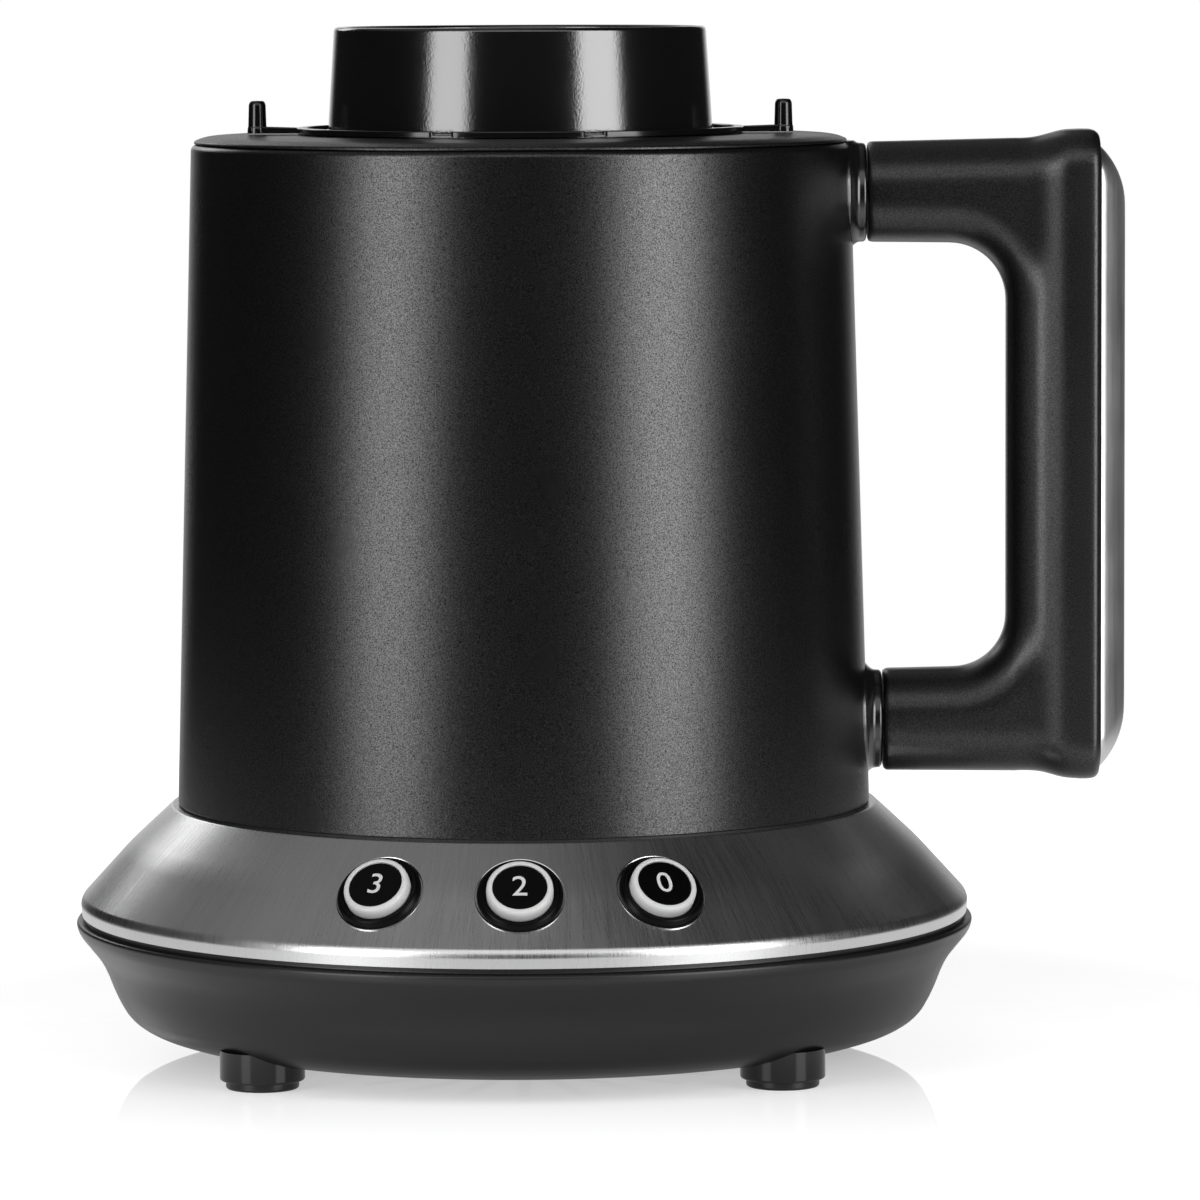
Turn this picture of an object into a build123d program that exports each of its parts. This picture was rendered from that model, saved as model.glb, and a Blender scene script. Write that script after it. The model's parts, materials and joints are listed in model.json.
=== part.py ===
from build123d import *
import math
import os

# Home coffee bean roaster: a fan at the bottom blows hot air up through a steel roasting chamber.
# Millimetres. The table is z = 0, the front with its buttons faces -Y and the handle points to +X.

# ---- Driving dimensions ----
BASE_RADIUS = 100.8  # rim of the base pan
HANDLE_REACH = 135.2  # from the body's axis to the outer face of the handle cover
TOTAL_HEIGHT = 230.2  # mouth of the chimney
AXIS_X = (BASE_RADIUS - HANDLE_REACH) / 2  # body axis, so that the whole width is centred on x = 0

FOOT_PITCH = 113.5  # between foot centres, both ways
FOOT_RADIUS = 8.0
FOOT_BOSS_RADIUS = 9.3
FOOT_RUBBER = 1.8  # rubber that shows under the boss
FOOT_BOSS_TOP = 10.2  # inside the pan, where each boss ends

PAN_UNDERSIDE = 4.3
PAN_WALL = 2.4
PAN_FLOOR = PAN_UNDERSIDE + PAN_WALL
PAN_RIM_TOP = 30.6
# Radius and height of the pan's flank, from its floor to its rim.
PAN_FLANK = ((80.5, 5.1), (86.0, 6.9), (89.4, 9.2), (92.1, 14.0), (94.1, 19.2), (95.7, 22.3), (98.1, 25.2), (100.2, 27.8))
PAN_TONGUE_TOP = 34.2  # upstand that closes the shadow gap behind the steel lip
INTAKE_SLOTS = 20

SKIRT_TOP = 56.3
SKIRT_TOP_RADIUS = 79.2
SKIRT_LIP_BOTTOM = 31.8
SKIRT_SHEET = 0.6
SEAL_TOP = SKIRT_TOP + 0.4

SHELL_BOTTOM_RADIUS = 77.75
SHELL_TOP_RADIUS = 73.6
SHELL_TOP = 204.3
SHELL_SHEET = 1.0

DECK_TOP = 206.3
DECK_UNDERSIDE = 203.7
DECK_OPENING = 43.5
DECK_EDGE = 72.7

BUTTON_TILT = 44.0  # of each button's axis above the level
BUTTON_RADIUS = 89.75  # of the skirt under each button's centre
BUTTON_HEIGHT = 46.3
BUTTON_SPREAD = 19.65  # degrees between neighbouring buttons
BUTTON_PROUD = 3.2
BUTTON_R = 7.2
DISC_R = 5.85
BEZEL_BORE = 7.5
BEZEL_BARREL = 8.5
BEZEL_FLANGE = 9.3

CHAMBER_RADIUS = 41.2
CHAMBER_SHEET = 0.8
CHAMBER_BOTTOM = 119.0
LOUVRES = 20

PLATE_TOP = SKIRT_TOP - SKIRT_SHEET
PLATE_THICKNESS = 3.0
POST_CIRCLE = 62.0
POST_ANGLES = (45.0, 135.0, 225.0, 315.0)

MOTOR_RADIUS = 18.0
MOTOR_TOP = 50.6
MOTOR_LENGTH = 30.6
SHAFT_RADIUS = 1.6
RUNNING_FIT = 0.05  # radial clearance of the shaft in the motor's bearings
IMPELLER_RADIUS = 46.0
BLADES = 12

CHIMNEY_BASE_RADIUS = 42.9
CHIMNEY_TOP_RADIUS = 41.5
CHIMNEY_SEAT = 208.2  # ledge inside the chimney that carries the bean guard
RING_BOTTOM = DECK_TOP + 0.3
RING_TOP = 207.9
RIB_OUTER = 50.0
RIB_WIDTH = 1.8
PIN_RADIUS_OUT = 58.8
PIN_TOP = 213.9
FRONT_RIB = 16.1  # half the angle of the front rib and the rear rib
SIDE_RIB = 65.0  # angle of each of the four side ribs
# Rings of slots in the bean guard: radius, count, degrees.
GUARD_SLOTS = ((8.0, 4, 50.0), (16.0, 8, 26.0), (24.0, 12, 18.0), (32.0, 16, 14.0))

ARM_HEIGHT = 22.6
UPPER_ARM_Z = 193.1
LOWER_ARM_Z = 74.5
UPPER_ARM_END = 77.45
LOWER_ARM_END = 80.8
ARM_SLIT = 0.3  # gap between each boss and its arm
BOSS_RADIUS = 11.0
BOSS_FLARE = 12.9
SCREW_HOLE = 2.7
GRIP_INNER = 108.5
GRIP_OUTER = 121.0
GRIP_WIDTH = 22.6
RIM_WIDTH = 26.4
RIM_LOW = 61.2
RIM_HIGH = 206.8
SEAM = 129.2
COVER_LOW = 64.0
COVER_HIGH = 203.2
COVER_WIDTH = 24.0
COVER_SHEET = 0.8
COVER_DOME = 15.8  # radius across the cover
COVER_END_DOME = 19.1  # radius of its rounded ends
COVER_END_RUN = 13.9  # length of each rounded end
# Sections of the rim's flare: radius, width, low end, high end, corner radius.
RIM_FLARE = (
    (115.0, 22.4, 62.9, 205.1, 9.6),
    (118.2, 24.2, 62.1, 205.9, 9.2),
    (121.4, RIM_WIDTH, RIM_LOW, RIM_HIGH, 8.4),
)
UPPER_SCREW_SEAT = 72.75
LOWER_SCREW_SEAT = 76.05

# ---- Work planes ----
BODY_AXIS = Axis((AXIS_X, 0, 0), (0, 0, 1))
UPRIGHT = Plane(origin=(AXIS_X, 0, 0), x_dir=(1, 0, 0), z_dir=(0, -1, 0))  # radius across, height up


def level(height):
    """Level plane on the body's axis."""
    return Plane(origin=(AXIS_X, 0, height))


def across(radius, height=0.0):
    """Plane that faces +X at a radius from the body's axis; its x runs to +Y and its y runs up."""
    return Plane(origin=(AXIS_X + radius, 0, height), x_dir=(0, 1, 0), z_dir=(1, 0, 0))


def rearward(depth):
    """Plane that faces the back at the cable exit, a depth behind the body's axis."""
    return Plane(origin=(AXIS_X, depth, CABLE_HEIGHT), x_dir=(-1, 0, 0), z_dir=(0, 1, 0))


def on_skirt(swing):
    """Plane that lies on the skirt under a button, its z along the button's axis."""
    turn = math.radians(swing)
    tilt = math.radians(BUTTON_TILT)
    outward = Vector(math.sin(turn), -math.cos(turn), 0)
    centre = Vector(AXIS_X, 0, BUTTON_HEIGHT) + outward * BUTTON_RADIUS
    normal = outward * math.cos(tilt) + Vector(0, 0, math.sin(tilt))
    return Plane(origin=centre, x_dir=(math.cos(turn), math.sin(turn), 0), z_dir=normal)


def turned(*outline):
    """Solid of revolution about the body's axis from a closed outline of (radius, height) points."""
    with BuildPart() as piece:
        with BuildSketch(UPRIGHT):
            with BuildLine():
                Polyline(*outline, close=True)
            make_face()
        revolve(axis=BODY_AXIS)
    return piece


BUTTON_PLANES = {
    "left": on_skirt(-BUTTON_SPREAD),
    "centre": on_skirt(0.0),
    "right": on_skirt(BUTTON_SPREAD),
}
FOOT_SPOTS = GridLocations(FOOT_PITCH, FOOT_PITCH, 2, 2)
POST_SPOTS = [
    (POST_CIRCLE * math.cos(math.radians(a)), POST_CIRCLE * math.sin(math.radians(a))) for a in POST_ANGLES
]

# ---- Base pan: moulded bowl with foot bosses, intake slots, screw bosses and a cable exit ----
CABLE_HEIGHT = 16.0
CABLE_FACE = 98.5
CABLE_BOSS = 87.0
CABLE_START = 84.0
CABLE_BORE = 3.6
BOARD_X = -62.0
BOARD_Z = PAN_FLOOR + 5.0
with BuildPart() as base_pan:
    with BuildSketch(UPRIGHT):
        with BuildLine():
            floor_line = Line((0, PAN_UNDERSIDE), (74, PAN_UNDERSIDE))
            flank = Spline(floor_line @ 1, *PAN_FLANK, tangents=[(1, 0), (0.5, 0.87)])
            Polyline(flank @ 1, (BASE_RADIUS, 29.2), (BASE_RADIUS, PAN_RIM_TOP), (0, PAN_RIM_TOP), floor_line @ 0)
        make_face()
    revolve(axis=BODY_AXIS)
    offset(amount=-PAN_WALL, openings=base_pan.faces().sort_by(Axis.Z)[-1], kind=Kind.INTERSECTION)
    rim_edge = base_pan.edges().filter_by(GeomType.CIRCLE).group_by(Axis.Z)[-1].sort_by(SortBy.RADIUS)[-1]
    fillet(rim_edge, 0.8)
    with BuildSketch(UPRIGHT):
        with BuildLine():
            Polyline((96.6, 27.0), (98.6, 27.6), (98.6, PAN_TONGUE_TOP), (96.6, PAN_TONGUE_TOP), close=True)
        make_face()
    revolve(axis=BODY_AXIS)
    with BuildSketch(level(FOOT_RUBBER)):
        with FOOT_SPOTS:
            Circle(FOOT_BOSS_RADIUS)
    extrude(amount=FOOT_BOSS_TOP - FOOT_RUBBER)
    foot_seams = [
        edge for edge in base_pan.edges(Select.NEW)
        if edge.length > FOOT_RADIUS and PAN_UNDERSIDE < edge.center().Z < FOOT_BOSS_TOP - 1.0
    ]
    fillet(foot_seams, 1.2)
    with BuildSketch(level(FOOT_RUBBER)):
        with FOOT_SPOTS:
            Circle(4.0)
    extrude(amount=3.4, mode=Mode.SUBTRACT)
    with BuildSketch(level(PAN_UNDERSIDE)):
        with Locations(*POST_SPOTS):
            Circle(6.0)
    extrude(amount=6.7)
    with Locations(level(PAN_UNDERSIDE)):
        with Locations(*[Location((x, y, 0), (180, 0, 0)) for x, y in POST_SPOTS]):
            CounterBoreHole(radius=1.9, counter_bore_radius=3.8, counter_bore_depth=3.2, depth=8.0)
    with BuildSketch(level(PAN_UNDERSIDE)):
        with PolarLocations(32.0, INTAKE_SLOTS):
            SlotOverall(24.0, 3.2)
    extrude(amount=PAN_WALL, mode=Mode.SUBTRACT)
    with BuildSketch(rearward(CABLE_BOSS)):
        Circle(8.6)
    extrude(amount=CABLE_FACE - CABLE_BOSS)
    with BuildSketch(rearward(CABLE_START)):
        Circle(6.1)
    extrude(amount=CABLE_FACE - CABLE_START, mode=Mode.SUBTRACT)
    with BuildSketch(level(PAN_FLOOR)):
        with Locations((BOARD_X, 0)):
            with GridLocations(20.0, 42.0, 2, 2):
                Circle(3.0)
    extrude(amount=BOARD_Z - PAN_FLOOR)

# ---- Feet: rubber pads pushed into the foot bosses ----
with BuildPart() as rubber_feet:
    with BuildSketch(level(0)):
        with FOOT_SPOTS:
            Circle(FOOT_RADIUS)
    extrude(amount=FOOT_RUBBER)
    fillet(rubber_feet.edges().group_by(Axis.Z)[0], 0.5)
    with BuildSketch(level(FOOT_RUBBER)):
        with FOOT_SPOTS:
            Circle(3.9)
    extrude(amount=3.2)

with BuildPart() as base_screws:
    with BuildSketch(level(PAN_UNDERSIDE + 0.8)):
        with Locations(*POST_SPOTS):
            Circle(3.4)
    extrude(amount=2.4)
    with BuildSketch(level(PAN_UNDERSIDE + 3.2)):
        with Locations(*POST_SPOTS):
            Circle(1.6)
    extrude(amount=14.0)

with BuildPart() as cable_gland:
    with BuildSketch(rearward(CABLE_FACE)):
        Circle(7.2)
    extrude(amount=1.6)
    fillet(cable_gland.edges().sort_by(Axis.Y)[-1], 0.7)
    with BuildSketch(rearward(CABLE_START)):
        Circle(6.0)
    extrude(amount=CABLE_FACE - CABLE_START)
    with BuildSketch(rearward(CABLE_START)):
        Circle(CABLE_BORE)
    extrude(amount=CABLE_FACE + 1.6 - CABLE_START, mode=Mode.SUBTRACT)

# ---- Chassis plate: carries the skirt, the fan housing and the motor, and stands on the pan's posts ----
with BuildPart() as chassis_plate:
    with BuildSketch(level(PLATE_TOP - PLATE_THICKNESS)):
        Circle(76.0)
        Circle(30.0, mode=Mode.SUBTRACT)
    extrude(amount=PLATE_THICKNESS)
    with BuildSketch(level(PAN_UNDERSIDE + 6.7)):
        with Locations(*POST_SPOTS):
            Circle(5.0)
    extrude(amount=PLATE_TOP - PLATE_THICKNESS - PAN_UNDERSIDE - 6.7)
    with BuildSketch(level(PAN_UNDERSIDE + 6.7)):
        with Locations(*POST_SPOTS):
            Circle(1.7)
    extrude(amount=12.0, mode=Mode.SUBTRACT)

# ---- Skirt: drawn steel cone with three button holes and a turned-in top flange ----
with BuildPart() as base_skirt:
    with BuildSketch(UPRIGHT):
        with BuildLine():
            FilletPolyline(
                (70.5, SKIRT_TOP), (SKIRT_TOP_RADIUS, SKIRT_TOP), (88.9, 47.3), (99.9, 35.2),
                (99.6, SKIRT_LIP_BOTTOM), radius=(0.8, 60.0, 3.0),
            )
            offset(amount=SKIRT_SHEET, side=Side.RIGHT)
        make_face()
    revolve(axis=BODY_AXIS)
    for plane in BUTTON_PLANES.values():
        with BuildSketch(plane.offset(-6.0)):
            Circle(BEZEL_BARREL + 0.15)
        extrude(amount=12.0, mode=Mode.SUBTRACT)

shell_seal = turned((72.0, SKIRT_TOP), (77.2, SKIRT_TOP), (77.2, SEAL_TOP), (72.0, SEAL_TOP))

# ---- Buttons: bezel with its barrel, white body with a plunger, black disc, switch and board ----
with BuildPart() as button_bezels:
    for plane in BUTTON_PLANES.values():
        with BuildSketch(Plane(origin=plane.origin, x_dir=plane.x_dir, z_dir=-plane.y_dir)):
            with BuildLine():
                Polyline(
                    (BEZEL_BORE, -9.8), (BEZEL_BARREL, -9.8), (BEZEL_BARREL, -0.2), (BEZEL_FLANGE, -0.2),
                    (BEZEL_FLANGE, 0.8), (BEZEL_FLANGE - 0.5, 1.3), (BEZEL_BORE, 1.3), close=True,
                )
            make_face()
        revolve(axis=Axis(plane.origin, plane.z_dir))

BUTTONS = {}
DISCS = {}
for side, plane in BUTTON_PLANES.items():
    upright = Plane(origin=plane.origin, x_dir=plane.x_dir, z_dir=-plane.y_dir)
    with BuildPart() as button:
        with BuildSketch(upright):
            with BuildLine():
                Polyline(
                    (0, -3.0), (1.75, -3.0), (1.75, -1.8), (BUTTON_R, -1.8), (BUTTON_R, 1.7), (BUTTON_R - 0.15, 2.5),
                    (BUTTON_R - 0.5, 3.0), (BUTTON_R - 1.0, BUTTON_PROUD), (DISC_R + 0.05, BUTTON_PROUD),
                    (DISC_R + 0.05, 2.2), (0, 2.2),
                    close=True,
                )
            make_face()
        revolve(axis=Axis(plane.origin, plane.z_dir))
    BUTTONS[side] = button
    with BuildPart() as disc:
        with BuildSketch(plane.offset(2.2)):
            Circle(DISC_R)
        extrude(amount=0.85)
        fillet(disc.edges().sort_by(Axis(plane.origin, plane.z_dir))[-1], 0.3)
    DISCS[side] = disc

with BuildPart() as switch_boards:
    for plane in BUTTON_PLANES.values():
        with BuildSketch(plane.offset(-9.6)):
            Circle(BEZEL_BORE - 0.05)
        extrude(amount=1.6)

with BuildPart() as tact_switches:
    for plane in BUTTON_PLANES.values():
        with BuildSketch(plane.offset(-8.0)):
            Rectangle(6.0, 6.0)
        extrude(amount=3.4)

# ---- Control board on the pan floor ----
with BuildPart() as control_board:
    with BuildSketch(level(BOARD_Z)):
        with Locations((BOARD_X, 0)):
            RectangleRounded(32.0, 50.0, 2.0)
    extrude(amount=1.6)

with BuildPart() as board_components:
    with BuildSketch(level(BOARD_Z + 1.6)):
        with Locations((BOARD_X - 4.0, 13.0)):
            Rectangle(15.0, 12.0)
    extrude(amount=11.0)
    with BuildSketch(level(BOARD_Z + 1.6)):
        with Locations((BOARD_X + 7.0, -10.0)):
            Circle(5.0)
    extrude(amount=14.0)
    with BuildSketch(level(BOARD_Z + 1.6)):
        with Locations((BOARD_X - 6.0, -12.0)):
            Rectangle(8.0, 20.0)
    extrude(amount=9.0)

# ---- Motor hung under the plate on a three-armed bracket ----
with BuildPart() as motor:
    with BuildSketch(level(MOTOR_TOP - MOTOR_LENGTH)):
        Circle(MOTOR_RADIUS)
    extrude(amount=MOTOR_LENGTH)
    fillet(motor.edges().filter_by(GeomType.CIRCLE), 2.0)
    with BuildSketch(level(MOTOR_TOP)):
        Circle(6.5)
    extrude(amount=2.0)
    with Locations(level(MOTOR_TOP + 2.0)):
        Hole(SHAFT_RADIUS + RUNNING_FIT, depth=22.0)

with BuildPart() as motor_bracket:
    with BuildSketch(level(MOTOR_TOP)):
        Circle(15.0)
        with PolarLocations(22.0, 3, start_angle=90.0):
            Rectangle(26.0, 9.0)
        Circle(6.7, mode=Mode.SUBTRACT)
    extrude(amount=PLATE_TOP - PLATE_THICKNESS - MOTOR_TOP)

# ---- Fan: centrifugal impeller on the motor's shaft, drawing through the eye of its housing ----
IMPELLER_BACK = 72.0
IMPELLER_EYE = 59.5
with BuildPart() as motor_shaft:
    with BuildSketch(level(MOTOR_TOP - 18.0)):
        Circle(SHAFT_RADIUS)
    extrude(amount=81.5 - MOTOR_TOP + 18.0)

with BuildPart() as fan_impeller:
    with BuildSketch(UPRIGHT):
        with BuildLine():
            Polyline(
                (SHAFT_RADIUS, IMPELLER_EYE), (7.0, IMPELLER_EYE), (9.0, IMPELLER_BACK), (IMPELLER_RADIUS, IMPELLER_BACK),
                (IMPELLER_RADIUS, IMPELLER_BACK + 1.4), (8.0, IMPELLER_BACK + 1.4), (6.0, 76.0), (SHAFT_RADIUS, 76.0),
                close=True,
            )
        make_face()
    revolve(axis=BODY_AXIS)
    with BuildSketch(level(IMPELLER_EYE)):
        for turn in range(BLADES):
            with BuildLine(Plane.XY.rotated((0, 0, turn * 360.0 / BLADES))):
                blade = ThreePointArc((22.0, 0), (35.5, 3.2), (44.8, 12.0))
                offset(amount=0.7, side=Side.LEFT)
            make_face()
    extrude(amount=IMPELLER_BACK - IMPELLER_EYE + 0.2)

with BuildPart() as fan_nut:
    with BuildSketch(level(76.0)):
        RegularPolygon(4.0, 6)
        Circle(SHAFT_RADIUS, mode=Mode.SUBTRACT)
    extrude(amount=3.2)

with BuildPart() as fan_housing:
    with BuildSketch(UPRIGHT):
        with BuildLine():
            FilletPolyline(
                (26.0, PLATE_TOP), (62.0, PLATE_TOP), (62.0, 80.0), (45.0, 92.0), (45.0, 98.0), radius=4.0
            )
            offset(amount=1.4, side=Side.LEFT)
        make_face()
    revolve(axis=BODY_AXIS)

# ---- Heater: coils threaded through a mica cross inside a steel duct ----
COIL_RINGS = ((34.0, 103.5), (34.0, 110.5), (22.0, 107.0))
COIL_RADIUS = 1.5
with BuildPart() as heater_frame:
    with BuildSketch(level(98.0)):
        Rectangle(2 * 44.6, 1.2)
        Rectangle(1.2, 2 * 44.6)
    extrude(amount=17.0)
    for radius, height in COIL_RINGS:
        with BuildSketch(UPRIGHT):
            with Locations((radius, height), (-radius, height)):
                Circle(COIL_RADIUS + 0.3)
        extrude(amount=2.0, both=True, mode=Mode.SUBTRACT)
        with BuildSketch(across(0)):
            with Locations((radius, height), (-radius, height)):
                Circle(COIL_RADIUS + 0.3)
        extrude(amount=2.0, both=True, mode=Mode.SUBTRACT)

with BuildPart() as heater_coil:
    for radius, height in COIL_RINGS:
        with BuildSketch(UPRIGHT):
            with Locations((radius, height)):
                Circle(COIL_RADIUS)
        revolve(axis=BODY_AXIS)

DUCT_RADIUS = 45.9
with BuildPart() as heater_duct:
    with BuildSketch(UPRIGHT):
        with BuildLine():
            FilletPolyline((DUCT_RADIUS, 94.0), (DUCT_RADIUS, 137.0), (CHAMBER_RADIUS + 0.4, 137.0), radius=2.0)
            offset(amount=0.8, side=Side.LEFT)
        make_face()
    revolve(axis=BODY_AXIS)

with BuildPart() as thermostat:
    with BuildSketch(Plane(origin=(AXIS_X - DUCT_RADIUS + 2.0, 0, 122.0), x_dir=(0, -1, 0), z_dir=(-1, 0, 0))):
        Circle(8.0)
    extrude(amount=7.0)
    with BuildSketch(Plane(origin=(AXIS_X - DUCT_RADIUS - 5.0, 0, 122.0), x_dir=(0, -1, 0), z_dir=(-1, 0, 0))):
        with GridLocations(7.0, 0, 2, 1):
            Rectangle(0.8, 5.0)
    extrude(amount=4.5)
    with BuildSketch(level(112.0)):
        Circle(DUCT_RADIUS)
    extrude(amount=20.0, mode=Mode.SUBTRACT)

# ---- Roasting chamber: spun steel cup with swirl louvres low in its wall ----
with BuildPart() as roasting_chamber:
    with BuildSketch(UPRIGHT):
        with BuildLine():
            FilletPolyline(
                (0, 124.0), (6.0, 124.0), (30.0, CHAMBER_BOTTOM), (CHAMBER_RADIUS, CHAMBER_BOTTOM),
                (CHAMBER_RADIUS, DECK_UNDERSIDE - CHAMBER_SHEET), (50.0, DECK_UNDERSIDE - CHAMBER_SHEET),
                radius=(3.0, 6.0, 6.0, 1.5),
            )
            offset(amount=CHAMBER_SHEET, side=Side.LEFT)
        make_face()
    revolve(axis=BODY_AXIS)
    for turn in range(LOUVRES):
        angle = math.radians(turn * 360.0 / LOUVRES)
        outward = Vector(math.cos(angle), math.sin(angle), 0)
        sideways = Vector(-math.sin(angle), math.cos(angle), 0)
        wall = Plane(origin=Vector(AXIS_X, 0, 129.5) + outward * (CHAMBER_RADIUS - 3.0), x_dir=sideways, z_dir=outward)
        with BuildSketch(wall):
            SlotOverall(9.0, 1.8, rotation=50.0)
        extrude(amount=5.0, mode=Mode.SUBTRACT)

# ---- Heat shield between the chamber and the body shell ----
with BuildPart() as heat_shield:
    with BuildSketch(UPRIGHT):
        with BuildLine():
            FilletPolyline((58.0, 84.5), (58.0, 198.5), (69.6, 198.5), radius=3.0)
            offset(amount=0.6, side=Side.RIGHT)
        make_face()
    revolve(axis=BODY_AXIS)

# ---- Body shell: tapered steel drum with a rolled top edge ----
with BuildPart() as body_shell:
    with BuildSketch(UPRIGHT):
        with BuildLine():
            FilletPolyline(
                (SHELL_BOTTOM_RADIUS, SEAL_TOP + 0.03), (SHELL_TOP_RADIUS, SHELL_TOP), (70.5, SHELL_TOP), radius=1.6
            )
            offset(amount=SHELL_SHEET, side=Side.LEFT)
        make_face()
    revolve(axis=BODY_AXIS)
    for height in (UPPER_ARM_Z, LOWER_ARM_Z):
        with BuildSketch(across(66.0, height)):
            Circle(SCREW_HOLE)
        extrude(amount=16.0, mode=Mode.SUBTRACT)

# ---- Top deck: domed ring that closes the drum and clamps the chamber's flange ----
with BuildPart() as top_deck:
    with BuildSketch(UPRIGHT):
        with BuildLine():
            dome = ThreePointArc((59.0, DECK_TOP), (66.8, 205.85), (DECK_EDGE, 204.8))
            Polyline(
                dome @ 1, (DECK_EDGE, 204.6), (DECK_EDGE - 1.0, 204.6), (DECK_EDGE - 1.0, SHELL_TOP), (70.2, SHELL_TOP), (70.2, 198.5),
                (68.2, 198.5), (68.2, DECK_UNDERSIDE), (DECK_OPENING, DECK_UNDERSIDE), (DECK_OPENING, DECK_TOP),
                dome @ 0,
            )
        make_face()
    revolve(axis=BODY_AXIS)

# ---- Handle: two bosses on the drum, a moulded C grip and a steel cover ----
def arm_boss(arm_end, height, drop):
    """Collar between the drum and one arm: it flares into the drum, follows its taper and is bored for a screw."""
    taper = (SHELL_BOTTOM_RADIUS - SHELL_TOP_RADIUS) / (SHELL_TOP - SEAL_TOP)
    drum = SHELL_TOP_RADIUS + taper * (SHELL_TOP - height)
    with BuildPart() as boss:
        with BuildSketch(Plane(origin=(AXIS_X, 0, height - drop), x_dir=(1, 0, 0), z_dir=(0, -1, 0))):
            with BuildLine():
                flare = Spline(
                    (drum - 0.6, BOSS_FLARE), (drum + 0.5, 11.7), (drum + 1.4, BOSS_RADIUS + 0.1),
                    tangents=[(0.4, -1), (1, -0.1)],
                )
                Polyline(
                    flare @ 1, (arm_end - ARM_SLIT, BOSS_RADIUS), (arm_end - ARM_SLIT, 0), (drum - 6.0, 0),
                    (drum - 6.0, BOSS_FLARE), flare @ 0,
                )
            make_face()
        revolve(axis=Axis((AXIS_X, 0, height - drop), (1, 0, 0)))
        fillet(boss.edges().filter_by(GeomType.CIRCLE).sort_by(Axis.X)[-1], 0.7)
        with BuildSketch(UPRIGHT):
            with BuildLine():
                Polyline(
                    (0, 0), (SHELL_TOP_RADIUS + taper * SHELL_TOP, 0), (SHELL_TOP_RADIUS, SHELL_TOP),
                    (SHELL_TOP_RADIUS, 220.0), (0, 220.0), close=True,
                )
            make_face()
        revolve(axis=BODY_AXIS, mode=Mode.SUBTRACT)
        with BuildSketch(level(SHELL_TOP + 0.2)):
            with Locations((arm_end, 0)):
                Rectangle(20.0, 40.0)
        extrude(amount=10.0, mode=Mode.SUBTRACT)
        with BuildSketch(across(66.0, height)):
            Circle(SCREW_HOLE)
        extrude(amount=20.0, mode=Mode.SUBTRACT)
    return boss


upper_boss = arm_boss(UPPER_ARM_END, UPPER_ARM_Z, 0.25)
lower_boss = arm_boss(LOWER_ARM_END, LOWER_ARM_Z, 0.0)

with BuildPart() as handle_grip:
    with BuildSketch(UPRIGHT):
        with BuildLine():
            Polyline(
                (UPPER_ARM_END, UPPER_ARM_Z - ARM_HEIGHT / 2), (GRIP_INNER, UPPER_ARM_Z - ARM_HEIGHT / 2 - 0.4),
                (GRIP_INNER, LOWER_ARM_Z + ARM_HEIGHT / 2 + 0.6), (LOWER_ARM_END, LOWER_ARM_Z + ARM_HEIGHT / 2),
                (LOWER_ARM_END, LOWER_ARM_Z - ARM_HEIGHT / 2 - 0.2), (GRIP_OUTER, LOWER_ARM_Z - ARM_HEIGHT / 2 - 0.6),
                (GRIP_OUTER, UPPER_ARM_Z + ARM_HEIGHT / 2 + 0.7), (UPPER_ARM_END, UPPER_ARM_Z + ARM_HEIGHT / 2 - 0.2),
                close=True,
            )
        make_face()
    extrude(amount=GRIP_WIDTH / 2, both=True)
    window_corners = handle_grip.edges().filter_by(Axis.Y).filter_by_position(
        Axis.X, AXIS_X + GRIP_INNER - 0.1, AXIS_X + GRIP_INNER + 0.1
    )
    fillet(window_corners.sort_by(Axis.Z)[0], 11.8)
    fillet(window_corners.sort_by(Axis.Z)[-1], 12.8)
    side_edges = handle_grip.faces().filter_by(Axis.Y).edges().filter_by_position(
        Axis.X, AXIS_X + UPPER_ARM_END + 0.5, AXIS_X + GRIP_OUTER - 0.5
    )
    fillet([edge for edge in side_edges if abs(edge.center().X - AXIS_X - LOWER_ARM_END) > 0.2], 10.2)
    arm_ends = handle_grip.faces().filter_by(Axis.X).filter_by_position(
        Axis.X, AXIS_X + UPPER_ARM_END - 1, AXIS_X + LOWER_ARM_END + 1
    )
    fillet(arm_ends.edges(), 0.8)
    for radius, width, low, high, corner in RIM_FLARE:
        with BuildSketch(across(radius, (low + high) / 2)):
            RectangleRounded(width, high - low, corner)
    loft()
    with BuildSketch(across(RIM_FLARE[-1][0], (RIM_LOW + RIM_HIGH) / 2)):
        RectangleRounded(RIM_WIDTH, RIM_HIGH - RIM_LOW, RIM_FLARE[-1][4])
    extrude(amount=SEAM - RIM_FLARE[-1][0])
    fillet(handle_grip.faces().sort_by(Axis.X)[-1].edges(), 1.9)
    for arm_end, height in ((UPPER_ARM_END, UPPER_ARM_Z), (LOWER_ARM_END, LOWER_ARM_Z)):
        with BuildSketch(across(arm_end, height)):
            Circle(2.35)
        extrude(amount=16.0, mode=Mode.SUBTRACT)


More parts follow.
